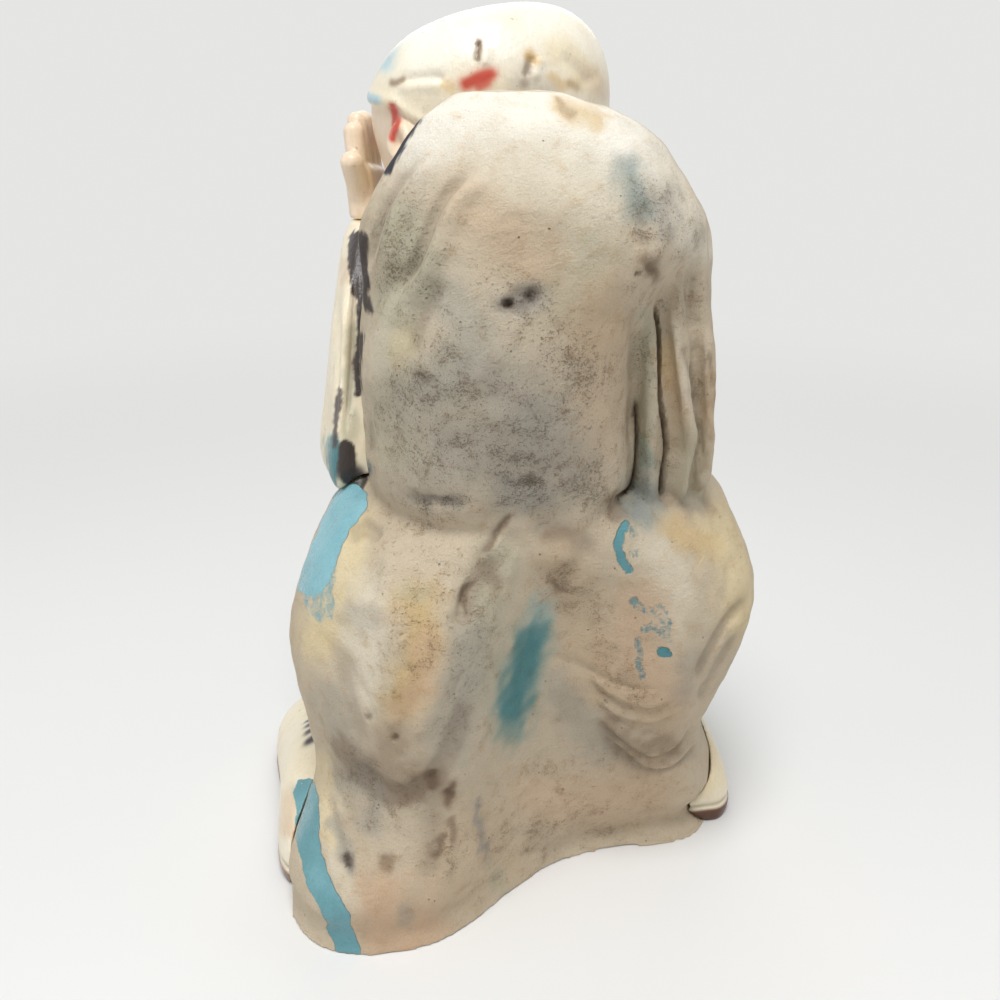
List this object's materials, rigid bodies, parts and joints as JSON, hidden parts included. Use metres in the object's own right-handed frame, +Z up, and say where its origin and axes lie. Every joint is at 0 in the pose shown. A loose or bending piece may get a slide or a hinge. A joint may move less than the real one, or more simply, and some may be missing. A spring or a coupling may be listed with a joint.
{
  "type": "chalkware figure",
  "caption": "Hollow painted plaster figure, seated and hunched, head bowed onto its left hand, bare plaster back, standing on a flat foot.",
  "frame": {"origin": "on the flat foot, under the middle of the body, at the level of the surface it stands on", "axes": "+Z up, -Y the way the figure faces, +X towards the figure's left side"},
  "size_m": [0.1621, 0.1342, 0.2626],
  "materials": {
    "plaster": "bare cast plaster, matt, chalky, with grime and paint overspray",
    "painted_plaster": "plaster with brushed and sprayed paint, satin to gloss",
    "scrim": "loose jute scrim soaked in plaster",
    "wood": "plain softwood dowel",
    "wire": "drawn iron wire, dull"
  },
  "bodies": {
    "root": {"back_shell": "plaster", "front_shell": "painted_plaster", "head": "painted_plaster", "right_sleeve": "plaster", "left_sleeve": "painted_plaster", "right_hand": "painted_plaster", "left_hand": "painted_plaster", "right_shoe": "painted_plaster", "left_shoe": "painted_plaster", "seam_scrim": "scrim", "neck_dowel": "wood", "right_arm_pin": "wire", "left_arm_pin": "wire", "right_wrist_pin": "wire", "left_wrist_pin": "wire", "base_plug": "plaster"}
  },
  "joints": []
}
